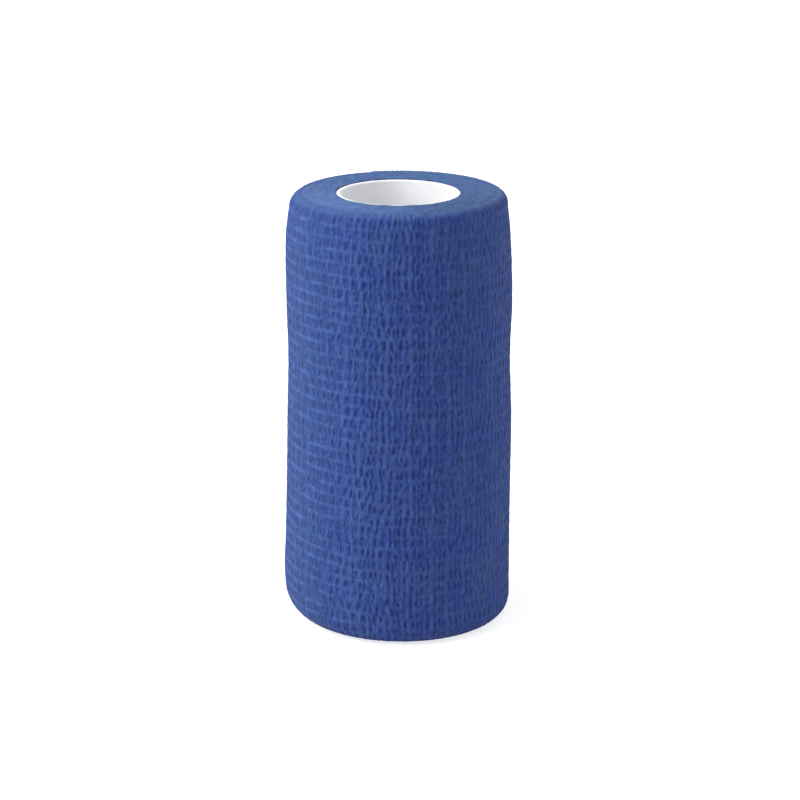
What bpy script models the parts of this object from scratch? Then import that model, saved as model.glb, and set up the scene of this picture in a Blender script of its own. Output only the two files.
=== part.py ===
"""Cohesive bandage roll, standing on end: elastic crepe cloth wound on a plastic core tube.

Metres, +Z up. The origin is on the core's axis, on the surface that the roll stands on.
"""

from collections import namedtuple
from math import cos, pi, radians, sin

import bmesh
import bpy

# Driving dimensions
BANDAGE_WIDTH = 0.100  # the cloth's width, which is the roll's height as it stands
LAYER = 0.00065  # one turn of the crepe cloth, pressed on the roll
CORE_RADIUS = 0.01413  # the core tube's outer radius
CORE_WALL = 0.0012
CORE_LENGTH = 0.0996  # a little shorter than the cloth is wide
CORE_CHAMFER = 0.0003
SEAT_GAP = 0.0003  # between the core and the first turn

# The free end of the outermost turn is a straight cut, pressed down on the turn below it
CUT_END_ANGLE = radians(105)
CUT_END_RUN = 0.0004  # how far the step down to the turn below reaches round the roll

# The rounded rims, where the cloth's edges draw in
TOP_RIM = 0.0031
TOP_SWING = 0.0004  # the top rim is sharper than its mean at the right, and rounder at the left
BOTTOM_RIM = 0.0052
BOTTOM_SWING = 0.0013  # the bottom rim is sharpest at the right
BOTTOM_SHARPEST = radians(-20)
TOP_DISH = 0.0002  # the first turns' edges lie this much below the crest of the top face
DISH_REACH = 0.0040  # from the bore to that crest

# The outer wall, from the foot up: the roll was wound unevenly, with a waist above its middle.
# Radius is the mean round the roll, and sway is the section's shift along X from the core's axis.
Section = namedtuple("Section", "height radius sway")
SECTIONS = (
    Section(0.0040, 0.02610, -0.00030),
    Section(0.0100, 0.02630, -0.00055),
    Section(0.0180, 0.02615, -0.00040),
    Section(0.0320, 0.02595, -0.00015),
    Section(0.0480, 0.02580, 0.00005),
    Section(0.0620, 0.02540, 0.00000),
    Section(0.0760, 0.02570, 0.00005),
    Section(0.0900, 0.02540, -0.00020),
    Section(0.0970, 0.02465, -0.00010),
)

ROUND_STEPS = 72
WALL_STEPS = 18
RIM_STEPS = 4

BLUE_CLOTH = (0.050, 0.088, 0.290, 1.0)
WHITE_PLASTIC = (0.86, 0.87, 0.89, 1.0)


def clear_scene():
    for thing in list(bpy.data.objects):
        bpy.data.objects.remove(thing)


def plain_material(name, colour, roughness):
    material = bpy.data.materials.new(name)
    material.use_nodes = True
    shader = material.node_tree.nodes["Principled BSDF"]
    shader.inputs["Base Color"].default_value = colour
    shader.inputs["Roughness"].default_value = roughness
    shader.inputs["Metallic"].default_value = 0.0
    return material


def slope(column, row):
    """The table's rise per metre of height at a row, from the rows on each side of it."""
    below = SECTIONS[max(row - 1, 0)]
    above = SECTIONS[min(row + 1, len(SECTIONS) - 1)]
    return (getattr(above, column) - getattr(below, column)) / (above.height - below.height)


def at_height(column, height):
    """A column of the section table at any height, on a smooth curve through its rows."""
    height = min(max(height, SECTIONS[0].height), SECTIONS[-1].height)
    row = max(i for i, section in enumerate(SECTIONS[:-1]) if section.height <= height)
    low, high = SECTIONS[row], SECTIONS[row + 1]
    span = high.height - low.height
    t = (height - low.height) / span
    return (
        (2 * t**3 - 3 * t**2 + 1) * getattr(low, column)
        + (t**3 - 2 * t**2 + t) * span * slope(column, row)
        + (3 * t**2 - 2 * t**3) * getattr(high, column)
        + (t**3 - t**2) * span * slope(column, row + 1)
    )


def rim_arc(turned_up, rim, wall_radius):
    """(radius, height) points of a rounded rim, from the foot's flat up or from the wall to the top."""
    points = []
    for step in range(RIM_STEPS + 1):
        a = pi / 2 * step / RIM_STEPS
        if turned_up:
            points.append((wall_radius - rim + rim * cos(a), BANDAGE_WIDTH - rim + rim * sin(a)))
        else:
            points.append((wall_radius - rim + rim * sin(a), rim - rim * cos(a)))
    return points


def roll_section(angle, turned):
    """The wound cloth's closed outline at one angle; turned goes from 0 to 1 round the last turn."""
    spiral = LAYER * (turned - 0.5)
    bottom_rim = BOTTOM_RIM - BOTTOM_SWING * cos(angle - BOTTOM_SHARPEST)
    top_rim = TOP_RIM - TOP_SWING * cos(angle)
    wall_top = BANDAGE_WIDTH - top_rim
    bore = CORE_RADIUS + SEAT_GAP

    outline = [(bore, 0.0)]
    outline += rim_arc(False, bottom_rim, at_height("radius", bottom_rim) + spiral)
    for step in range(1, WALL_STEPS):
        height = bottom_rim + (wall_top - bottom_rim) * step / WALL_STEPS
        outline.append((at_height("radius", height) + spiral, height))
    outline += rim_arc(True, top_rim, at_height("radius", wall_top) + spiral)
    outline.append((bore + DISH_REACH, BANDAGE_WIDTH))
    outline.append((bore, BANDAGE_WIDTH - TOP_DISH))

    points = []
    for radius, height in outline:
        outward = (radius - bore) / (at_height("radius", height) - bore)
        sway = at_height("sway", height) * outward
        points.append((radius * cos(angle) + sway, radius * sin(angle), height))
    return points


def make_roll(collection):
    """The wound cloth is one solid, a loft from section to section round the core."""
    cut_run = CUT_END_RUN / SECTIONS[0].radius
    sections = []
    for step in range(ROUND_STEPS):
        turned = step / (ROUND_STEPS - 1)
        angle = CUT_END_ANGLE + turned * (2 * pi - cut_run)
        sections.append(roll_section(angle, turned))

    mesh = bpy.data.meshes.new("bandage_roll")
    form = bmesh.new()
    rings = [[form.verts.new(point) for point in section] for section in sections]
    count = len(rings[0])
    for i, ring in enumerate(rings):
        following = rings[(i + 1) % len(rings)]
        for j in range(count):
            k = (j + 1) % count
            form.faces.new((ring[j], following[j], following[k], ring[k]))
    bmesh.ops.recalc_face_normals(form, faces=form.faces)
    form.to_mesh(mesh)
    form.free()
    mesh.shade_smooth()
    mesh.set_sharp_from_angle(angle=radians(40))
    mesh.materials.append(plain_material("blue crepe cloth", BLUE_CLOTH, 0.9))

    roll = bpy.data.objects.new("bandage_roll", mesh)
    collection.objects.link(roll)
    return roll


def make_core(collection):
    """The core is a turned tube: its profile runs down the outer side and up the bore."""
    outer, inner, cut = CORE_RADIUS, CORE_RADIUS - CORE_WALL, CORE_CHAMFER
    profile = (
        (outer - cut, CORE_LENGTH),
        (outer, CORE_LENGTH - cut),
        (outer, cut),
        (outer - cut, 0.0),
        (inner + cut, 0.0),
        (inner, cut),
        (inner, CORE_LENGTH - cut),
        (inner + cut, CORE_LENGTH),
    )
    mesh = bpy.data.meshes.new("core_tube")
    edges = [(i, (i + 1) % len(profile)) for i in range(len(profile))]
    mesh.from_pydata([(radius, 0.0, height) for radius, height in profile], edges, [])
    mesh.materials.append(plain_material("white core plastic", WHITE_PLASTIC, 0.45))

    core = bpy.data.objects.new("core_tube", mesh)
    collection.objects.link(core)
    turn = core.modifiers.new("turn", "SCREW")
    turn.axis = "Z"
    turn.angle = 2 * pi
    turn.steps = ROUND_STEPS
    turn.render_steps = ROUND_STEPS
    turn.use_merge_vertices = True
    turn.merge_threshold = 0.00001
    turn.use_smooth_shade = True
    return core


def main():
    clear_scene()
    collection = bpy.data.collections.new("cohesive_bandage_roll")
    bpy.context.scene.collection.children.link(collection)
    stand = bpy.data.objects.new("roll_axis", None)
    collection.objects.link(stand)
    for piece in (make_roll(collection), make_core(collection)):
        piece.parent = stand


main()
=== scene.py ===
"""Cohesive bandage roll: blue crepe cloth wound on a white plastic core tube, stood on its end."""

from collections import namedtuple
from math import cos, pi, radians, sin

import bpy
import numpy as np
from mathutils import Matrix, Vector


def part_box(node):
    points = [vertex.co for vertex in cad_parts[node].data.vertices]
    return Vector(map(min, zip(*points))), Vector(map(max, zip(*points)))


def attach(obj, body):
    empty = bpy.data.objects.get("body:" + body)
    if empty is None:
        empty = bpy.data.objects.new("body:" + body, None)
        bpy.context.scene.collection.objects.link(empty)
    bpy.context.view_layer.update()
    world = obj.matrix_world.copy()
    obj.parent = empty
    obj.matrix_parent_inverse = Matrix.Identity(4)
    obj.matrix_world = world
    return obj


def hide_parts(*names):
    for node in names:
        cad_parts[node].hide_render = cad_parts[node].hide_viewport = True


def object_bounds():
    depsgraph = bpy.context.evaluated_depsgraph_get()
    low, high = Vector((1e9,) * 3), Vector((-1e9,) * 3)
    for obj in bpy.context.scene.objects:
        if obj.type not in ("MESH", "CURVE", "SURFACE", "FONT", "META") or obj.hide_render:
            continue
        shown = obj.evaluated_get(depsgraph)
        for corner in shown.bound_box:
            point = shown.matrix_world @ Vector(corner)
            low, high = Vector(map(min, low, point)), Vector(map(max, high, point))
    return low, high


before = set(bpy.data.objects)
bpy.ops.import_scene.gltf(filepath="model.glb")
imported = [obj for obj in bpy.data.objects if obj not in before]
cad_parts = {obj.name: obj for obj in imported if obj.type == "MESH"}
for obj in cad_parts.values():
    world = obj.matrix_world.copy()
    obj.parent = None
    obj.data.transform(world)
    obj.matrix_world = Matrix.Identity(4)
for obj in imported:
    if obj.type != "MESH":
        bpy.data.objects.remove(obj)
cad_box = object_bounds()


# ---------------------------------------------------------------------------------------------
# Camera: a long lens, 0.6 m from the roll and 17 degrees above level, in a square picture.
# The lens is given by the picture's width in pixels and the pixels that one radian covers.
CAMERA_DISTANCE = 0.600
CAMERA_ELEVATION = radians(17.04)
PICTURE_WIDTH = 800
PIXELS_PER_RADIAN = 2603
ROLL_MIDDLE = Vector((0.0, 0.0, 0.050))
MIDDLE_LEFT_OF_CENTRE = 1.6  # pixels from the picture's centre to the roll's middle
MIDDLE_BELOW_CENTRE = 3.3

back = Vector((0.0, -cos(CAMERA_ELEVATION), sin(CAMERA_ELEVATION)))
pixel = CAMERA_DISTANCE / PIXELS_PER_RADIAN
aim_right = MIDDLE_LEFT_OF_CENTRE * pixel
aim_up = MIDDLE_BELOW_CENTRE * pixel / cos(CAMERA_ELEVATION)
aim = ROLL_MIDDLE + Vector((aim_right, 0.0, aim_up))
camera = bpy.data.objects.new("camera", bpy.data.cameras.new("camera"))
camera.location = ROLL_MIDDLE + CAMERA_DISTANCE * back
camera.rotation_euler = (aim - camera.location).to_track_quat("-Z", "Y").to_euler()
camera.data.lens = camera.data.sensor_width * PIXELS_PER_RADIAN / PICTURE_WIDTH
camera.data.clip_start = 0.01
bpy.context.scene.collection.objects.link(camera)
bpy.context.scene.camera = camera


# ---------------------------------------------------------------------------------------------
# The outer turn: the last turn of the bandage, one layer of elastic crepe, 100 mm wide. Elastic
# threads run round it, and between them the cloth puckers into rows of short upright pleats.
# It clings to the turn below, curls over both rims, and its straight cut end lies at the back.
BANDAGE_WIDTH = cad_box[1].z - cad_box[0].z
CORE_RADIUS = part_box("core_tube")[1].x
CORE_GAP = 0.00003  # between the core and the first turn
BORE_RADIUS = CORE_RADIUS + CORE_GAP
LAYER = 0.00065  # one turn of the cloth, pressed on the roll
CUT_END_ANGLE = radians(105)
TOP_RIM = 0.0031
TOP_SWING = 0.0004  # the top rim is sharper than its mean at the right, and rounder at the left
FOOT_RIM = 0.0052
FOOT_SWING = 0.0013  # the foot's rim is sharpest at the right
FOOT_SHARPEST = radians(-20)
CURL = radians(70)  # how far the outer turn reaches round each rim, from the wall

# The wall from the foot up: mean radius, and the section's shift along X from the core's axis
Section = namedtuple("Section", "height radius sway")
WALL = (
    Section(0.0040, 0.02610, -0.00030),
    Section(0.0100, 0.02630, -0.00055),
    Section(0.0180, 0.02615, -0.00040),
    Section(0.0320, 0.02595, -0.00015),
    Section(0.0480, 0.02580, 0.00005),
    Section(0.0620, 0.02540, 0.00000),
    Section(0.0760, 0.02570, 0.00005),
    Section(0.0900, 0.02540, -0.00020),
    Section(0.0970, 0.02465, -0.00010),
)
WALL_RUN = BANDAGE_WIDTH - FOOT_RIM - TOP_RIM
MEAN_RADIUS = sum(section.radius for section in WALL) / len(WALL)
TURN_LENGTH = 2 * pi * MEAN_RADIUS

TURN_COLUMNS = 506
ROWS = 186
UNDERLAP = 0.008  # the turn begins under its own cut end
UNDERLAP_COLUMNS = 4
CUT_DROP = 0.00055  # the cut end turns in by the cloth's thickness
RIM_DROP = 0.00036  # and so do the edges on the rims, down to the turn below
RIM_SLOPE = 0.0006  # over this much of their way
CUT_COLUMNS = 3
CUT_ROWS = 2
END_LIFT = 0.00025  # the cut end stands a little off the roll
END_LIFT_RUN = 0.004
LIFT_TO_RIM = 0.006  # and comes down to it over this much at each rim

# The cut isn't quite straight, and the end stands off unevenly: waves up the wall
Wave = namedtuple("Wave", "height rate start")
CUT_WAVES = (Wave(0.0003, 210, 1.0), Wave(0.00015, 830, 0.0))
LIFT_WAVE = Wave(0.4, 140, 0.6)  # its height is a share of the lift

MM = 1000  # millimetres in a metre, for the crepe's pattern
THREAD_PITCH = 2.7  # millimetres between the elastic threads
PLEAT_PITCH = 1.12  # millimetres from pleat to pleat
RELIEF = 0.00024  # metres from the pleats' crests to the bottom of the slits between them
SURFACE_LEVEL = 0.72  # the part of the relief that lies below the wall's own surface

# The sides where the cloth was pulled tight: where each lies and how narrow it is, the part of
# the relief that is lost there, and the part that the pleats are wider there
Side = namedtuple("Side", "angle narrowness flatter wider")
TIGHTEST = Side(radians(214), 8, 0.59, 1.2)
FIRM = Side(radians(327), 11, 0.46, 0.35)
CALMER_TOP = 0.16  # the part of the relief that is lost at the top rim
CALMER_TOP_RUN = 0.014  # and how far below it that begins
CALMER_CUT = 0.4  # the part that is lost at the cut end
EDGE_RELIEF = 0.15  # the share of the relief that is left at the edges on the rims
EDGE_RELIEF_RUN = 0.0026  # and how far in from them all of it is back


def wall(column, height):
    """A column of the wall's table at any height, on a smooth curve through its rows."""
    heights = np.array([section.height for section in WALL])
    values = np.array([getattr(section, column) for section in WALL])
    last = len(WALL) - 1
    below = np.maximum(np.arange(last + 1) - 1, 0)
    above = np.minimum(np.arange(last + 1) + 1, last)
    slopes = (values[above] - values[below]) / (heights[above] - heights[below])
    height = np.clip(height, heights[0], heights[-1])
    low = np.clip(np.searchsorted(heights, height, side="right") - 1, 0, last - 1)
    span = heights[low + 1] - heights[low]
    t = (height - heights[low]) / span
    return (
        (2 * t**3 - 3 * t**2 + 1) * values[low]
        + (t**3 - 2 * t**2 + t) * span * slopes[low]
        + (3 * t**2 - 2 * t**3) * values[low + 1]
        + (t**3 - t**2) * span * slopes[low + 1]
    )


def spiral(turned, turns_in=0):
    """How far a turn lies out from the wall's mean radius, by the part of a turn it has wound."""
    return LAYER * (turned - 0.5 - turns_in)


def round_core(angle, radius, height):
    """Points round the core's axis, with the wound cloth's sway growing from the core outwards."""
    outward = (radius - BORE_RADIUS) / (wall("radius", height) - BORE_RADIUS)
    sway = wall("sway", height) * outward
    return np.stack((radius * np.cos(angle) + sway, radius * np.sin(angle), height), axis=-1)


def top_rim_at(angle):
    return TOP_RIM - TOP_SWING * np.cos(angle)


def foot_rim_at(angle):
    return FOOT_RIM - FOOT_SWING * np.cos(angle - FOOT_SHARPEST)


def on_wall(angle, out, across, sink):
    """Points of the roll's skin. Across runs up the wall from the foot's rim, and over both rims."""
    foot_rim, top_rim = foot_rim_at(angle), top_rim_at(angle)
    foot_tilt = np.clip(-across / FOOT_RIM, 0, pi / 2)
    top_tilt = np.clip((across - WALL_RUN) / TOP_RIM, 0, pi / 2)
    up = np.clip(across / WALL_RUN, 0, 1)
    on_straight = foot_rim + (BANDAGE_WIDTH - top_rim - foot_rim) * up
    foot_bend, top_bend = foot_rim - sink, top_rim - sink
    height = on_straight + top_bend * np.sin(top_tilt) - foot_bend * np.sin(foot_tilt)
    draw_in = top_bend * (1 - np.cos(top_tilt)) + foot_bend * (1 - np.cos(foot_tilt))
    return round_core(angle, wall("radius", on_straight) + out - sink - draw_in, height)


def ramp(value, low, high):
    """0 below low, 1 above high, and smooth between."""
    t = np.clip((value - low) / (high - low), 0, 1)
    return t * t * (3 - 2 * t)


def wavy(value, wave):
    return wave.height * np.sin(wave.rate * value + wave.start)


def near_side(angle, side):
    """1 at the middle of a side of the roll, falling to 0 round it."""
    return (0.5 + 0.5 * np.cos(angle - side.angle)) ** side.narrowness


def grid_mesh(name, *grids):
    """One mesh of quads through grids of points; a grid that is flipped faces the other way."""
    quads, start = [], 0
    for points, flipped in grids:
        columns, rows = points.shape[:2]
        index = start + np.arange(columns * rows).reshape(columns, rows)
        corners = (index[:-1, :-1], index[1:, :-1], index[1:, 1:], index[:-1, 1:])
        if flipped:
            corners = corners[::-1]
        quads.append(np.stack([corner.ravel() for corner in corners], axis=-1))
        start += columns * rows
    mesh = bpy.data.meshes.new(name)
    places = np.concatenate([points.reshape(-1, 3) for points, _ in grids])
    mesh.from_pydata(places.tolist(), [], np.concatenate(quads).tolist())
    mesh.shade_smooth()
    return mesh


def keep(mesh, name, kind, values):
    """Stores a value for each point, for the surface's nodes to read."""
    attribute = mesh.attributes.new(name, kind, "POINT")
    attribute.data.foreach_set("vector" if kind == "FLOAT_VECTOR" else "value", values.ravel())


# Places along the turn, in metres from where the cut end crosses it, and up the wall and rims.
# The last columns, and the first and last rows, drop to the turn below as the cloth's cut edges.
along = np.concatenate((
    np.linspace(-UNDERLAP, 0, UNDERLAP_COLUMNS, endpoint=False),
    np.linspace(0, TURN_LENGTH, TURN_COLUMNS),
    np.full(CUT_COLUMNS, TURN_LENGTH),
))[:, None]
row_drop = np.arange(CUT_ROWS, 0, -1) / CUT_ROWS
across = np.concatenate((
    -CURL * FOOT_RIM - RIM_SLOPE * row_drop,
    np.linspace(-CURL * FOOT_RIM, WALL_RUN + CURL * TOP_RIM, ROWS),
    WALL_RUN + CURL * TOP_RIM + RIM_SLOPE * row_drop[::-1],
))[None, :]
column_drop = np.concatenate((
    np.zeros(along.size - CUT_COLUMNS),
    np.arange(1, CUT_COLUMNS + 1) / CUT_COLUMNS,
))
row_drop = np.concatenate((row_drop, np.zeros(ROWS), row_drop[::-1]))
drop = np.maximum(CUT_DROP * column_drop[:, None], RIM_DROP * row_drop[None, :])

cut_wander = sum(wavy(across, wave) for wave in CUT_WAVES)
near_cut = ramp(along, TURN_LENGTH - END_LIFT_RUN, TURN_LENGTH)
on_the_wall = ramp(across, 0.0, LIFT_TO_RIM) * ramp(WALL_RUN - across, 0.0, LIFT_TO_RIM)
lift = END_LIFT * near_cut * (1 - LIFT_WAVE.height + wavy(across, LIFT_WAVE)) * on_the_wall
turned = (along + cut_wander * near_cut) / TURN_LENGTH
points = on_wall(CUT_END_ANGLE + 2 * pi * turned, spiral(turned) + lift, across, drop)
turn_mesh = grid_mesh("outer_turn", (points, False))

# What the nodes read at each point: its place on the cloth in millimetres, how tight the cloth
# is, the pleats counted along the turn, and the share of the relief that is left
place = np.stack(np.broadcast_arrays(MM * along, MM * across, 0.0), axis=-1)
keep(turn_mesh, "cloth_place", "FLOAT_VECTOR", place)
round_roll = CUT_END_ANGLE + 2 * pi * along / TURN_LENGTH
tight = near_side(round_roll, TIGHTEST)
firm = near_side(round_roll, FIRM)
keep(turn_mesh, "tightness", "FLOAT", np.broadcast_to(tight, drop.shape))
pitch = PLEAT_PITCH * (1 + TIGHTEST.wider * tight + FIRM.wider * firm)
pleats_along = np.cumsum(MM * np.diff(along, axis=0, prepend=along[:1]) / pitch, axis=0)
keep(turn_mesh, "pleat_count", "FLOAT", np.broadcast_to(pleats_along, drop.shape))
to_rim = np.minimum(across - across.min(), across.max() - across)
relief_left = EDGE_RELIEF + (1 - EDGE_RELIEF) * ramp(to_rim, 0.0, EDGE_RELIEF_RUN)
relief_left = relief_left * (1 - CALMER_CUT * near_cut) * (drop == 0)
relief_left = relief_left * (1 - TIGHTEST.flatter * tight) * (1 - FIRM.flatter * firm)
relief_left = relief_left * (1 - CALMER_TOP * ramp(across, WALL_RUN - CALMER_TOP_RUN, WALL_RUN))
keep(turn_mesh, "relief_share", "FLOAT", relief_left)


def add(tree, kind, values=(), output=0, **settings):
    """Adds a node, sets or links its inputs by number or name, and returns one of its outputs."""
    node = tree.nodes.new(kind)
    for name, value in settings.items():
        setattr(node, name, value)
    for key, value in values.items() if isinstance(values, dict) else enumerate(values):
        if isinstance(value, bpy.types.NodeSocket):
            tree.links.new(value, node.inputs[key])
        else:
            node.inputs[key].default_value = value
    return node.outputs[output]


def calc(tree, operation, *values):
    return add(tree, "ShaderNodeMath", values, operation=operation)


def scaled(tree, vector, factor):
    """A vector or a colour, times a number."""
    return add(tree, "ShaderNodeVectorMath", {0: vector, "Scale": factor}, operation="SCALE")


def smooth(tree, value, low, high):
    """A smooth step from 0 at low to 1 at high."""
    inputs = (value, low, high, 0.0, 1.0)
    return add(tree, "ShaderNodeMapRange", inputs, interpolation_type="SMOOTHSTEP")


def blend(tree, share, first, second):
    """A number between two others."""
    return add(tree, "ShaderNodeMapRange", (share, 0.0, 1.0, first, second))


def noise(tree, x, y, size_x, size_y, detail=0.0):
    """Even noise about 0.5 over a flat pattern, with features of the given sizes."""
    x, y = calc(tree, "DIVIDE", x, size_x), calc(tree, "DIVIDE", y, size_y)
    inputs = {"Vector": add(tree, "ShaderNodeCombineXYZ", (x, y)), "Scale": 1.0, "Detail": detail}
    return add(tree, "ShaderNodeTexNoise", inputs, noise_dimensions="2D")


# Where the crepe's pattern changes from place to place: how wide and tall its patches are, in
# millimetres, and the levels of the noise from which a patch begins and at which it is full
Patches = namedtuple("Patches", "wide tall begin full")
HELD = Patches(5.0, 2.4, 0.34, 0.66)  # the threads hold the slits shut
SHOWN = Patches(4.2, 2.0, 0.34, 0.62)  # the threads show
SET_OFF = Patches(9.0, 2.6, 0.56, 0.64)  # pleats are set off from lane to lane; tall is in lanes
DEEP = Patches(0.7, 1.4, 0.30, 0.68)  # the slits are deep
HIGH = Patches(0.8, 1.7, 0.30, 0.70)  # the crests are high

# How its lines stray: how wide and tall their bends are, and how far they go in all
Stray = namedtuple("Stray", "wide tall reach")
THREAD_STRAY = Stray(15.0, 12.0, 1.5)  # in millimetres
PLEAT_DRIFT = Stray(5.0, 2.2, 0.8)  # in pleats, with tall in lanes
PLEAT_LEAN = Stray(3.0, 0.6, 1.1)  # the same, from a lane's foot to its top
CREASES = Stray(0.40, 1.8, 0.50)  # in shares of the relief
RIPPLE_BENDS = (2.2, 1.6)  # how wide and tall the threads' small bends are

# Pairs of values, for slack cloth and for the tightest
RIPPLE_REACH = (0.45, 0.12)
THREAD_CLEAR = (0.18, 0.90)  # how clear the threads are
THREAD_CLEAR_IN_SLIT = (0.5, 0.72)  # the part of that in a slit
THREAD_HOLD = (0.64, 1.0)  # how far a thread holds the slits shut
SLIT_FLOOR = (0.0, 0.20)  # half the width of a slit's floor, in pleats
CREASES_LEFT = (1.0, 0.3)

THREAD_HALF = 0.29  # half a thread's width, in lanes
THREAD_CLEAR_ON_CREST = 1.1
LEAST_CLEAR = 0.10  # of a thread, between the patches where it shows
LEAST_HOLD = 0.60  # and between those where it holds
HOLD_REACH = (0.03, 0.28)  # lanes from a thread, where slits begin to open and where they are open
PLEATS_UNEVEN = 0.8
SLIT_WIDTH = 0.5  # pleats from a slit's middle to the crests at its sides
SLIT_DEPTHS = (0.25, 1.22)
CREST_HEIGHTS = (0.62, 1.12)
THREAD_HEIGHT = 0.74


def in_patches(tree, x, y, patches):
    """0 between the patches, and 1 in them."""
    level = noise(tree, x, y, patches.wide, patches.tall)
    return smooth(tree, level, patches.begin, patches.full)


def strayed(tree, x, y, stray, detail=0.0):
    """How far a line strays, to each side of its own place."""
    level = noise(tree, x, y, stray.wide, stray.tall, detail)
    return calc(tree, "MULTIPLY_ADD", level, stray.reach, -stray.reach / 2)


def crepe_relief(tree, cloth_place, pleat_count, tightness, thread_pitch, slit_width):
    """The crepe's pattern on a place on the cloth in millimetres: relief, slits and threads, 0 to 1."""
    split = tree.nodes.new("ShaderNodeSeparateXYZ")
    tree.links.new(cloth_place, split.inputs[0])
    length, height = split.outputs[0], split.outputs[1]

    # Lanes between the elastic threads, which wander a little up and down and are lost in places
    wave = strayed(tree, length, height, THREAD_STRAY, detail=1.0)
    ripple = noise(tree, length, height, *RIPPLE_BENDS)
    ripple = calc(tree, "MULTIPLY", ripple, blend(tree, tightness, *RIPPLE_REACH))
    wave = calc(tree, "ADD", wave, ripple)
    lanes = calc(tree, "DIVIDE", calc(tree, "ADD", height, wave), thread_pitch)
    lane = calc(tree, "FLOOR", lanes)
    within = calc(tree, "FRACT", lanes)
    to_thread = calc(tree, "MINIMUM", within, calc(tree, "SUBTRACT", 1.0, within))
    thread = calc(tree, "SUBTRACT", 1.0, smooth(tree, to_thread, 0.0, THREAD_HALF))
    shown = blend(tree, in_patches(tree, length, height, SHOWN), LEAST_CLEAR, 1.0)
    thread = calc(tree, "MULTIPLY", thread, shown)
    thread = calc(tree, "MULTIPLY", thread, blend(tree, tightness, *THREAD_CLEAR))
    held = blend(tree, in_patches(tree, length, height, HELD), LEAST_HOLD, 1.0)
    hold = calc(tree, "MULTIPLY", blend(tree, tightness, *THREAD_HOLD), held)
    free = smooth(tree, to_thread, *HOLD_REACH)
    free = blend(tree, free, calc(tree, "SUBTRACT", 1.0, hold), 1.0)

    # Upright pleats: a fold runs on across several lanes, pinched at each thread, and bends or is
    # set off by half a pleat there in places
    odd_lane = calc(tree, "FLOORED_MODULO", lane, 2.0)
    step = calc(tree, "MULTIPLY", odd_lane, 0.5)
    step = calc(tree, "MULTIPLY", step, in_patches(tree, length, lane, SET_OFF))
    drift = noise(tree, length, lane, PLEAT_DRIFT.wide, PLEAT_DRIFT.tall)
    drift = calc(tree, "MULTIPLY", drift, PLEAT_DRIFT.reach)
    lean = strayed(tree, length, lane, PLEAT_LEAN)
    lean = calc(tree, "MULTIPLY", lean, calc(tree, "SUBTRACT", within, 0.5))
    pleats = calc(tree, "ADD", pleat_count, step)
    pleats = calc(tree, "ADD", calc(tree, "ADD", pleats, drift), lean)
    to_slit = add(
        tree,
        "ShaderNodeTexVoronoi",
        {"W": pleats, "Scale": 1.0, "Randomness": PLEATS_UNEVEN},
        "Distance",
        voronoi_dimensions="1D",
        feature="DISTANCE_TO_EDGE",
    )
    closed = smooth(tree, to_slit, blend(tree, tightness, *SLIT_FLOOR), slit_width)
    depth = blend(tree, in_patches(tree, length, height, DEEP), *SLIT_DEPTHS)
    slit = calc(tree, "MULTIPLY", calc(tree, "SUBTRACT", 1.0, closed), depth)
    slit = calc(tree, "MULTIPLY", slit, free)
    in_slit = blend(tree, tightness, *THREAD_CLEAR_IN_SLIT)
    thread = calc(tree, "MULTIPLY", thread, blend(tree, closed, in_slit, THREAD_CLEAR_ON_CREST))
    crest = blend(tree, in_patches(tree, length, height, HIGH), *CREST_HEIGHTS)
    crease = strayed(tree, length, height, CREASES)
    crease = calc(tree, "MULTIPLY", crease, blend(tree, tightness, *CREASES_LEFT))
    relief = blend(tree, thread, calc(tree, "ADD", crest, crease), THREAD_HEIGHT)
    return calc(tree, "SUBTRACT", relief, slit), slit, thread


def new_sockets(tree, inputs, outputs):
    """Names a node group's sockets, and returns its input and output nodes."""
    for name, kind, value in inputs:
        socket = tree.interface.new_socket(name, in_out="INPUT", socket_type=kind)
        if value is not None:
            socket.default_value = value
    for name, kind in outputs:
        tree.interface.new_socket(name, in_out="OUTPUT", socket_type=kind)
    return tree.nodes.new("NodeGroupInput"), tree.nodes.new("NodeGroupOutput")


def stored(tree, name, kind="FLOAT"):
    """An attribute of the mesh, in geometry nodes."""
    return add(tree, "GeometryNodeInputNamedAttribute", (name,), data_type=kind)


def end_tree(tree, geometry, offset, cloth, made):
    """The end of a tree: the points are moved, and the plain mesh gets its material."""
    moved = add(tree, "GeometryNodeSetPosition", {"Geometry": geometry, "Offset": offset})
    whole = add(tree, "GeometryNodeRealizeInstances", (moved,))
    dressed = add(tree, "GeometryNodeSetMaterial", {"Geometry": whole, "Material": cloth})
    tree.links.new(dressed, made.inputs[0])


def pucker_nodes():
    """Geometry nodes that raise the crepe's relief from a smooth sheet along its normals."""
    tree = bpy.data.node_groups.new("pucker the crepe", "GeometryNodeTree")
    given, made = new_sockets(
        tree,
        (
            ("Geometry", "NodeSocketGeometry", None),
            ("Relief", "NodeSocketFloat", 0.0),
            ("Thread Pitch", "NodeSocketFloat", 3.0),
            ("Slit Width", "NodeSocketFloat", 0.3),
            ("Surface Level", "NodeSocketFloat", 0.5),
            ("Cloth", "NodeSocketMaterial", None),
        ),
        (("Geometry", "NodeSocketGeometry"),),
    )
    relief, _, _ = crepe_relief(
        tree,
        stored(tree, "cloth_place", "FLOAT_VECTOR"),
        stored(tree, "pleat_count"),
        stored(tree, "tightness"),
        given.outputs["Thread Pitch"],
        given.outputs["Slit Width"],
    )
    rise = calc(tree, "SUBTRACT", relief, given.outputs["Surface Level"])
    rise = calc(tree, "MULTIPLY", rise, given.outputs["Relief"])
    rise = calc(tree, "MULTIPLY", rise, stored(tree, "relief_share"))
    offset = scaled(tree, add(tree, "GeometryNodeInputNormal"), rise)
    end_tree(tree, given.outputs["Geometry"], offset, given.outputs["Cloth"], made)
    return tree


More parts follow.
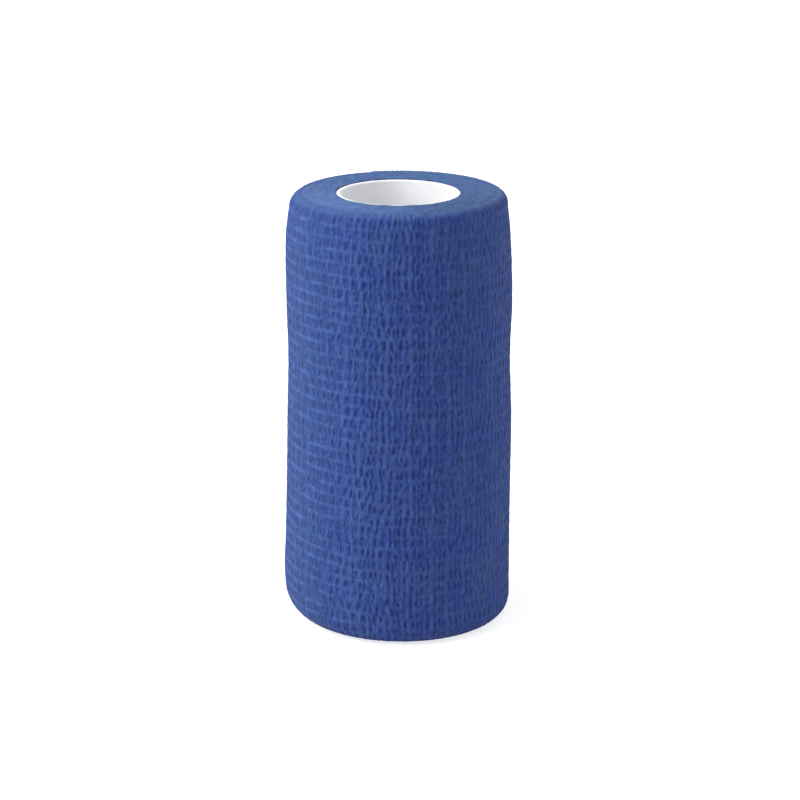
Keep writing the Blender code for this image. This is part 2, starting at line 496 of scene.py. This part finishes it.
def shape_with(tree, mesh, **values):
    """Runs geometry nodes on a mesh, and returns an object that holds the plain mesh they made."""
    piece = bpy.data.objects.new(mesh.name, mesh)
    bpy.context.scene.collection.objects.link(piece)
    nodes = piece.modifiers.new("shape", "NODES")
    nodes.node_group = tree
    sockets = {item.name: item for item in tree.interface.items_tree if item.in_out == "INPUT"}
    for name, value in values.items():
        nodes[sockets[name.replace("_", " ")].identifier] = value
    seen = piece.evaluated_get(bpy.context.evaluated_depsgraph_get())
    made = bpy.data.meshes.new_from_object(seen)
    piece.modifiers.remove(nodes)
    piece.data = made
    bpy.data.meshes.remove(mesh)
    made.name = piece.name
    return piece


def mix_colour(tree, share, first, second):
    """A colour between two others, which are the node's inputs 6 and 7."""
    return add(tree, "ShaderNodeMix", {0: share, 6: first, 7: second}, 2, data_type="RGBA")


def clouds(tree, place, scale, detail=2.0):
    """Noise about 0.5 through space, with so many features to a unit of the place."""
    inputs = {"Vector": place, "Scale": scale, "Detail": detail}
    return add(tree, "ShaderNodeTexNoise", inputs)


# Spots of another colour or tone: their scale, and the levels of the noise from which a spot
# begins and at which it is full
Spots = namedtuple("Spots", "scale begin full")


def in_spots(tree, place, spots):
    """0 between the spots, and 1 in them."""
    return smooth(tree, clouds(tree, place, spots.scale), spots.begin, spots.full)


FIBRE_LEVELS = (0.25, 0.75)  # of the noise, where the fibres are darkest and palest
FIBRE_HEIGHT = 0.0001


def fibre_group():
    """Loose fibres on the cloth: a fine speckle of tone, and its height in metres."""
    tree = bpy.data.node_groups.new("cloth fibres", "ShaderNodeTree")
    given, made = new_sockets(
        tree,
        (("Place", "NodeSocketVector", None), ("Fibre Size", "NodeSocketFloat", 0.3)),
        (("Tone", "NodeSocketFloat"), ("Height", "NodeSocketFloat")),
    )
    scale = calc(tree, "DIVIDE", 1.0, given.outputs["Fibre Size"])
    fine = clouds(tree, given.outputs["Place"], scale, detail=3.0)
    tree.links.new(smooth(tree, fine, *FIBRE_LEVELS), made.inputs["Tone"])
    tree.links.new(calc(tree, "MULTIPLY", fine, FIBRE_HEIGHT), made.inputs["Height"])
    return tree


cloth_fibres = fibre_group()


def fibres_on(tree, place, size):
    """The tone and height of the fibres in a material, for fibres of a size in millimetres."""
    fibres = tree.nodes.new("ShaderNodeGroup")
    fibres.node_tree = cloth_fibres
    fibres.inputs["Fibre Size"].default_value = size
    tree.links.new(place, fibres.inputs["Place"])
    return fibres.outputs["Tone"], fibres.outputs["Height"]


def new_material(name, **constants):
    """A material with its shader's constant values, ready for those that vary over the surface."""
    material = bpy.data.materials.new(name)
    material.use_nodes = True
    shader = material.node_tree.nodes["Principled BSDF"]
    for socket, value in constants.items():
        shader.inputs[socket.replace("_", " ")].default_value = value
    return material, material.node_tree, shader


def bump(tree, shader, height):
    """Raises the shading by a height in metres."""
    raised = add(tree, "ShaderNodeBump", {"Strength": 1.0, "Distance": 1.0, "Height": height})
    tree.links.new(raised, shader.inputs["Normal"])


# The bloom of loose fibres at a cloth's edges
SOFT_CLOTH = {
    "Sheen_Weight": 0.10,
    "Sheen_Roughness": 0.45,
    "Sheen_Tint": (0.62, 0.72, 1.0, 1.0),
    "Specular_IOR_Level": 0.15,
}
PLEAT_BLUE = (0.0322, 0.067, 0.272, 1.0)
# painted shade: the slits between the pleats are coloured a darker blue
SLIT_SHADE_BLUE = (0.0222, 0.0455, 0.211, 1.0)
# painted highlight: the paler blue laid on the elastic threads and on the highest crests
HIGHLIGHT_BLUE = (0.066, 0.120, 0.350, 1.0)
RIM_BLUE = (0.053, 0.108, 0.290, 1.0)
PALER_BLUE = (0.043, 0.084, 0.260, 1.0)
TIGHT_SIDE_SHADE_BLUE = (0.0335, 0.073, 0.234, 1.0)  # painted shade: a darker, greyer blue on the tightest side, where the key light falls
PALER = Spots(0.13, 0.35, 0.70)
MOTTLED = Spots(0.45, 0.30, 0.70)
TIGHT_SIDE_SHADE = (0.60, 0.95)  # the tightness where the painted shade begins, and where it is full
LIT_CREST = (0.70, 1.10)  # the relief where the painted highlight on the crests begins, and where it is full
LIT_CREST_SHARE = 0.55
RIM_PALES = (0.45, CURL)  # radians round the top rim, where its blue begins and is full
CLOTH_TONES = (0.86, 1.30)
CLOTH_FIBRE = 0.32


def crepe_material():
    material, tree, shader = new_material("blue crepe", Roughness=0.85, **SOFT_CLOTH)
    cloth_place = add(tree, "ShaderNodeAttribute", output="Vector", attribute_name="cloth_place")
    pleat_count = add(tree, "ShaderNodeAttribute", output="Fac", attribute_name="pleat_count")
    tightness = add(tree, "ShaderNodeAttribute", output="Fac", attribute_name="tightness")
    share = add(tree, "ShaderNodeAttribute", output="Fac", attribute_name="relief_share")
    relief, slit, thread = crepe_relief(
        tree, cloth_place, pleat_count, tightness, THREAD_PITCH, SLIT_WIDTH
    )
    colour = mix_colour(tree, in_spots(tree, cloth_place, PALER), PLEAT_BLUE, PALER_BLUE)
    # painted shade on the side the key light falls on
    colour = mix_colour(tree, smooth(tree, tightness, *TIGHT_SIDE_SHADE), colour, TIGHT_SIDE_SHADE_BLUE)
    lit = calc(tree, "MULTIPLY", share, LIT_CREST_SHARE)
    lit = calc(tree, "MULTIPLY", smooth(tree, relief, *LIT_CREST), lit)
    # painted highlight on the threads and the high crests
    colour = mix_colour(tree, calc(tree, "MAXIMUM", thread, lit), colour, HIGHLIGHT_BLUE)
    # painted shade in the slits
    colour = mix_colour(tree, calc(tree, "MULTIPLY", slit, share), colour, SLIT_SHADE_BLUE)
    across_mm = add(tree, "ShaderNodeSeparateXYZ", (cloth_place,), 1)
    rim_from, rim_full = (MM * (WALL_RUN + turn * TOP_RIM) for turn in RIM_PALES)
    colour = mix_colour(tree, smooth(tree, across_mm, rim_from, rim_full), colour, RIM_BLUE)
    fibre_tone, fibre_height = fibres_on(tree, cloth_place, CLOTH_FIBRE)
    tone = calc(tree, "MULTIPLY", fibre_tone, in_spots(tree, cloth_place, MOTTLED))
    toned = scaled(tree, colour, blend(tree, tone, *CLOTH_TONES))
    tree.links.new(toned, shader.inputs["Base Color"])
    height = calc(tree, "MULTIPLY", calc(tree, "MULTIPLY", relief, share), RELIEF)
    bump(tree, shader, calc(tree, "ADD", height, fibre_height))
    return material


outer_turn = shape_with(
    pucker_nodes(),
    turn_mesh,
    Relief=RELIEF,
    Thread_Pitch=THREAD_PITCH,
    Slit_Width=SLIT_WIDTH,
    Surface_Level=SURFACE_LEVEL,
    Cloth=crepe_material(),
)
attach(outer_turn, "root")


# ---------------------------------------------------------------------------------------------
# The wound turns: the rest of the same cloth, seen at the roll's two ends as the crinkled cut
# edges of its turns. Each turn lies on the last, from the core out to the outer turn.
TURNS = 17
EDGE_COLUMNS = 500  # round one turn
EDGE_SAMPLES = 5  # across one turn's edge
EDGE_LEVEL = 0.00005  # the highest edges lie this far inside the roll's end
EDGE_GROOVE = 0.00009  # the depth between one turn's edge and the next
EDGE_FLAT = 0.2  # the share of an edge's width that is flat
LAST_TURNS = 1.2  # over which the grooves close towards the outer turn
LAST_GROOVE_SHADE = 0.6  # the part of a groove's painted shade that is lost there
EDGE_WANDER = 0.00020  # how far an edge strays to each side
EDGE_UNEVEN = 0.00016  # how far the lowest edges fall back
CRINKLE_SIZE = 1.1  # millimetres
TOP_DISH = 0.0001  # the first turns' edges lie this much below the crest of the top face
DISH_REACH = 0.0040
HIDDEN_ROWS = 24


def curl_under(rim):
    """How far round a rim the turns under the outer one reach: to where the outer turn's edge ends."""
    return np.arccos(cos(CURL) + LAYER / rim)


def face_run(rim, at_wall, out):
    """The way out over an end face from the core: its flat part, and its curve on the rim."""
    flat = wall("radius", at_wall) + out - rim - BORE_RADIUS
    return flat, rim * (pi / 2 - curl_under(rim))


def end_face(angle, out, share, top):
    """Radius and height on an end face, from the core at share 0 to the outer turn's edge at 1."""
    rim = top_rim_at(angle) if top else foot_rim_at(angle)
    flat, curve = face_run(rim, BANDAGE_WIDTH - rim if top else rim, out)
    run = share * (flat + curve)
    tilt = pi / 2 - np.clip(run - flat, 0, None) / rim
    radius = BORE_RADIUS + np.minimum(run, flat) + rim * np.cos(tilt)
    fall = rim * (1 - np.sin(tilt))
    if not top:
        return radius, fall
    return radius, BANDAGE_WIDTH - fall - TOP_DISH * (1 - np.clip(run / DISH_REACH, 0, 1))


def edge_share(counted, part_turn):
    """How far out a turn's edge lies on an end face, by the turns counted from the core."""
    rim = top_rim_at(CUT_END_ANGLE)
    flat, curve = face_run(rim, BANDAGE_WIDTH - rim, spiral(0, turns_in=1))
    grown = (TURNS - 1) * LAYER / (flat + curve)
    return counted / (TURNS - 1 + grown * part_turn)


def edge_grid(top):
    """One end's cut edges, a strip that winds outwards: points, turn counts, grooves and slack."""
    count = TURNS * EDGE_COLUMNS
    wound = (np.arange(count + 1) / EDGE_COLUMNS)[:, None]
    phase = (np.arange(EDGE_SAMPLES + 1) / EDGE_SAMPLES)[None, :]
    part_turn = wound % 1.0
    part_turn[-1] = 1.0
    angle = CUT_END_ANGLE + 2 * pi * wound
    inner = np.clip(wound - 1, 0, None)
    counted = inner + (wound - inner) * phase
    share = edge_share(counted, part_turn)
    radius, height = end_face(angle, spiral(part_turn, turns_in=1), share, top)
    groove = np.abs(2 * phase - 1)
    outermost = ramp(counted, TURNS - 1 - LAST_TURNS, TURNS - 1)
    depth = EDGE_LEVEL + EDGE_GROOVE * ramp(groove, EDGE_FLAT, 1.0) * (1 - outermost)
    points = round_core(angle, radius, height - depth if top else height + depth)
    return points, counted, groove * (1 - LAST_GROOVE_SHADE * outermost), 1 - outermost


top_points, counted, groove, slack = edge_grid(True)
foot_points, _, _, _ = edge_grid(False)
last_turn = slice(-EDGE_COLUMNS - 1, None)
first_turn = slice(0, EDGE_COLUMNS + 1)

# Out of sight: the skin under the outer turn, the step where the outer turn begins, and the bore
part_turn = np.linspace(0, 1, EDGE_COLUMNS + 1)[:, None]
under_angle = CUT_END_ANGLE + 2 * pi * part_turn
lowest = -curl_under(foot_rim_at(under_angle)) * FOOT_RIM
highest = WALL_RUN + curl_under(top_rim_at(under_angle)) * TOP_RIM
under_across = lowest + (highest - lowest) * np.linspace(0, 1, HIDDEN_ROWS + 2)[None, 1:-1]
under = on_wall(under_angle, spiral(part_turn, turns_in=1), under_across, 0.0)
skin = np.concatenate((foot_points[last_turn, -1:], under, top_points[last_turn, -1:]), axis=1)
step_share = (np.arange(EDGE_SAMPLES + 1) / EDGE_SAMPLES)[:, None, None]
step = under[0] + (under[-1] - under[0]) * step_share
step = np.concatenate((foot_points[-1][:, None], step, top_points[-1][:, None]), axis=1)
bore = np.stack((foot_points[first_turn, 0], top_points[first_turn, 0]), axis=1)

hidden = (skin, step, bore)
hidden_count = sum(grid.shape[0] * grid.shape[1] for grid in hidden)
wound_mesh = grid_mesh(
    "wound_turns", (top_points, True), (foot_points, False), (skin, False), (step, True), (bore, True)
)
edge_place = np.concatenate([grid.reshape(-1, 3) * MM for grid in (top_points, foot_points, *hidden)])
edge_place[:, 2] = np.concatenate((counted.ravel(), counted.ravel(), np.full(hidden_count, TURNS)))
keep(wound_mesh, "edge_place", "FLOAT_VECTOR", edge_place)
groove = np.concatenate((groove.ravel(), groove.ravel(), np.ones(hidden_count)))
keep(wound_mesh, "groove", "FLOAT", groove)
slack = np.concatenate((-slack.ravel(), slack.ravel(), np.zeros(hidden_count)))
keep(wound_mesh, "slack", "FLOAT", slack)

NOISE_SPREAD = 4.0  # brings noise, which seldom leaves 0.25 to 0.75, to -1 to 1
FALL_BREADTH = 4.0  # crinkles to one fall of the edges
FALLEN = (0.3, 0.75)  # the levels of the noise where an edge begins to fall, and is lowest
JOIN_WITHIN = 0.000001


def crinkle_nodes():
    """Geometry nodes that make the turns' cut edges stray from side to side and fall back unevenly."""
    tree = bpy.data.node_groups.new("crinkle the edges", "GeometryNodeTree")
    given, made = new_sockets(
        tree,
        (
            ("Geometry", "NodeSocketGeometry", None),
            ("Wander", "NodeSocketFloat", 0.0),
            ("Uneven", "NodeSocketFloat", 0.0),
            ("Crinkle Size", "NodeSocketFloat", 1.0),
            ("Cloth", "NodeSocketMaterial", None),
        ),
        (("Geometry", "NodeSocketGeometry"),),
    )
    place = stored(tree, "edge_place", "FLOAT_VECTOR")
    turn = add(tree, "ShaderNodeSeparateXYZ", (place,), 2)
    outwards = add(tree, "ShaderNodeVectorMath", (place, (1.0, 1.0, 0.0)), operation="MULTIPLY")
    outwards = add(tree, "ShaderNodeVectorMath", (outwards,), operation="NORMALIZE")

    crinkles = calc(tree, "DIVIDE", 1.0, given.outputs["Crinkle Size"])
    stray = clouds(tree, place, crinkles, detail=1.0)
    stray = calc(tree, "MULTIPLY_ADD", stray, NOISE_SPREAD, -NOISE_SPREAD / 2)
    stray = calc(tree, "MULTIPLY", stray, given.outputs["Wander"])
    stray = calc(tree, "MULTIPLY", stray, smooth(tree, turn, 0.0, 1.0))
    sideways = scaled(tree, outwards, stray)

    fall = clouds(tree, place, calc(tree, "DIVIDE", crinkles, FALL_BREADTH))
    fall = calc(tree, "MULTIPLY", smooth(tree, fall, *FALLEN), given.outputs["Uneven"])
    fall = calc(tree, "MULTIPLY", fall, stored(tree, "slack"))
    fall = add(tree, "ShaderNodeCombineXYZ", {"Z": fall})
    offset = add(tree, "ShaderNodeVectorMath", (sideways, fall))

    inputs = {"Geometry": given.outputs["Geometry"], "Distance": JOIN_WITHIN}
    joined = add(tree, "GeometryNodeMergeByDistance", inputs)
    end_tree(tree, joined, offset, given.outputs["Cloth"], made)
    return tree


EDGE_BLUE = (0.068, 0.127, 0.330, 1.0)
PALE_EDGE_BLUE = (0.086, 0.174, 0.380, 1.0)
# painted shade in the grooves between the turns' edges
GROOVE_SHADE_BLUE = (0.034, 0.068, 0.205, 1.0)
PALE_EDGES = Spots(0.42, 0.35, 0.68)
GROOVE_SHADE_FROM = 0.45  # of the way from an edge's middle to the groove, where the painted shade begins
GROOVE_SHADE_SHARES = (0.0, 0.65)  # how far the palest and the darkest grooves take on the painted shade
GROOVE_SHADE_SCALE = 0.9
EDGE_TONES = (0.82, 1.18)
EDGE_FIBRE = 0.40
RIGHT_SHADE_SPAN = (-0.020, 0.016)  # metres along X, where the painted shade on the right begins and is full
RIGHT_SHADE_TONES = (1.02, 0.76)


def edge_material():
    """The cut edges, in patches, with painted shade in their grooves and painted shade darker on the
    right.
    """
    material, tree, shader = new_material("cut crepe edges", Roughness=0.9, **SOFT_CLOTH)
    edge_place = add(tree, "ShaderNodeAttribute", output="Vector", attribute_name="edge_place")
    groove = add(tree, "ShaderNodeAttribute", output="Fac", attribute_name="groove")
    colour = mix_colour(tree, in_spots(tree, edge_place, PALE_EDGES), EDGE_BLUE, PALE_EDGE_BLUE)
    # painted shade in the grooves, stronger in some places than in others
    groove_shade = blend(tree, clouds(tree, edge_place, GROOVE_SHADE_SCALE), *GROOVE_SHADE_SHARES)
    groove_shade = calc(tree, "MULTIPLY", smooth(tree, groove, GROOVE_SHADE_FROM, 1.0), groove_shade)
    colour = mix_colour(tree, groove_shade, colour, GROOVE_SHADE_BLUE)
    fibre_tone, fibre_height = fibres_on(tree, edge_place, EDGE_FIBRE)
    place = add(tree, "ShaderNodeTexCoord", output="Object")
    # painted shade: the edges darker towards the right
    right = add(tree, "ShaderNodeSeparateXYZ", (place,), 0)
    side_shade = blend(tree, smooth(tree, right, *RIGHT_SHADE_SPAN), *RIGHT_SHADE_TONES)
    tone = calc(tree, "MULTIPLY", blend(tree, fibre_tone, *EDGE_TONES), side_shade)
    tree.links.new(scaled(tree, colour, tone), shader.inputs["Base Color"])
    bump(tree, shader, fibre_height)
    return material


wound_turns = shape_with(
    crinkle_nodes(),
    wound_mesh,
    Wander=EDGE_WANDER,
    Uneven=EDGE_UNEVEN,
    Crinkle_Size=CRINKLE_SIZE,
    Cloth=edge_material(),
)
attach(wound_turns, "root")
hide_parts("bandage_roll")
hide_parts("bandage_roll")


# ---------------------------------------------------------------------------------------------
# The core: a white plastic tube, moulded smooth, that the bandage is wound on. Its rims are
# eased, its end lies a little below the first turns' edges, and one side of its bore has painted shade.
CORE_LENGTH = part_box("core_tube")[1].z
CORE_WALL = 0.0012
CORE_EASE = 0.00035
EASE_POINTS = 5
CORE_STEPS = 192
CLEAR_WHITE = (0.915, 0.923, 0.957, 1.0)
CLOUDY_WHITE = (0.890, 0.898, 0.937, 1.0)
BORE_SHADE_WHITE = (0.765, 0.760, 0.770, 1.0)  # painted shade on the right side of the bore
CLOUDY = Spots(120.0, 0.30, 0.70)
CLOUD_HEIGHT = 0.00004
BORE_SHADE_SPAN = (0.002, 0.010)  # metres along X, where the painted shade in the bore begins and is full
SCUFF_SCALE = 900.0
SCUFF_ROUGHNESS = (0.34, 0.52)


def core_profile():
    """The tube's section, down its outer side and up its bore, with a quarter round at each corner."""
    outer, inner = CORE_RADIUS, CORE_RADIUS - CORE_WALL
    corners = (
        (outer - CORE_EASE, CORE_LENGTH - CORE_EASE, 90),
        (outer - CORE_EASE, CORE_EASE, 0),
        (inner + CORE_EASE, CORE_EASE, -90),
        (inner + CORE_EASE, CORE_LENGTH - CORE_EASE, -180),
    )
    for radius, height, start in corners:
        for point in range(EASE_POINTS + 1):
            bent = radians(start - 90 * point / EASE_POINTS)
            yield (radius + CORE_EASE * cos(bent), 0.0, height + CORE_EASE * sin(bent))


def core_material():
    material, tree, shader = new_material("white core plastic")
    place = add(tree, "ShaderNodeTexCoord", output="Object")
    cloudy = clouds(tree, place, CLOUDY.scale)
    cloud = smooth(tree, cloudy, CLOUDY.begin, CLOUDY.full)
    colour = mix_colour(tree, cloud, CLEAR_WHITE, CLOUDY_WHITE)
    bore = CORE_RADIUS - CORE_WALL
    right = add(tree, "ShaderNodeSeparateXYZ", (place,), 0)
    flat = add(tree, "ShaderNodeVectorMath", (place, (1.0, 1.0, 0.0)), operation="MULTIPLY")
    radius = add(tree, "ShaderNodeVectorMath", (flat,), "Value", operation="LENGTH")
    in_bore = calc(tree, "SUBTRACT", 1.0, smooth(tree, radius, bore, bore + CORE_EASE))
    # painted shade on the right side of the bore
    bore_shade = calc(tree, "MULTIPLY", smooth(tree, right, *BORE_SHADE_SPAN), in_bore)
    tree.links.new(mix_colour(tree, bore_shade, colour, BORE_SHADE_WHITE), shader.inputs["Base Color"])
    scuffs = clouds(tree, place, SCUFF_SCALE, detail=3.0)
    tree.links.new(blend(tree, scuffs, *SCUFF_ROUGHNESS), shader.inputs["Roughness"])
    bump(tree, shader, calc(tree, "MULTIPLY", cloudy, CLOUD_HEIGHT))
    return material


profile = list(core_profile())
core_mesh = bpy.data.meshes.new("core_wall")
core_mesh.from_pydata(profile, [(i, (i + 1) % len(profile)) for i in range(len(profile))], [])
core_mesh.materials.append(core_material())
core_wall = bpy.data.objects.new("core_wall", core_mesh)
bpy.context.scene.collection.objects.link(core_wall)
turn = core_wall.modifiers.new("turn", "SCREW")
turn.angle = 2 * pi
turn.steps = CORE_STEPS
turn.render_steps = CORE_STEPS
turn.use_merge_vertices = True
turn.merge_threshold = 0.00001
turn.use_smooth_shade = True
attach(core_wall, "root")
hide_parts("core_tube")


# ---------------------------------------------------------------------------------------------
# The studio: a plain pale floor, white air all round, a large soft light at the upper left, and
# a weaker one low behind the roll's right side.
FLOOR_REACH = 4.0
FLOOR_GREY = (0.55, 0.55, 0.555, 1.0)
FLOOR_GLOW = (0.25, 0.72)  # on the roll, and as the camera sees it
WHITE = (1.0, 1.0, 1.0, 1.0)
AIR_STRENGTH = 0.60


def soft_light(name, place, size, power):
    light = bpy.data.lights.new(name, "AREA")
    light.shape = "DISK"
    light.size = size
    light.energy = power
    lamp = bpy.data.objects.new(name, light)
    lamp.location = place
    lamp.rotation_euler = (ROLL_MIDDLE - Vector(place)).to_track_quat("-Z", "Y").to_euler()
    bpy.context.scene.collection.objects.link(lamp)


floor_material, floor_tree, floor_shader = new_material(
    "pale floor", Roughness=0.9, Base_Color=FLOOR_GREY, Emission_Color=WHITE
)
seen = add(floor_tree, "ShaderNodeLightPath", output="Is Camera Ray")
floor_tree.links.new(blend(floor_tree, seen, *FLOOR_GLOW), floor_shader.inputs["Emission Strength"])
floor_corners = [
    (x * FLOOR_REACH, y * FLOOR_REACH, 0) for x, y in ((-1, -1), (1, -1), (1, 1), (-1, 1))
]
floor_mesh = bpy.data.meshes.new("floor")
floor_mesh.from_pydata(floor_corners, [], [(0, 1, 2, 3)])
floor_mesh.materials.append(floor_material)
floor = bpy.data.objects.new("floor", floor_mesh)
bpy.context.scene.collection.objects.link(floor)

soft_light("key light", place=(-0.88, -0.17, 0.80), size=1.20, power=16.6)
soft_light("edge light", place=(0.92, 0.53, 0.24), size=1.30, power=2.8)

air = bpy.data.worlds.new("white air")
air.use_nodes = True
air.node_tree.nodes["Background"].inputs["Color"].default_value = WHITE
air.node_tree.nodes["Background"].inputs["Strength"].default_value = AIR_STRENGTH
bpy.context.scene.world = air
bpy.context.scene.view_settings.view_transform = "Standard"
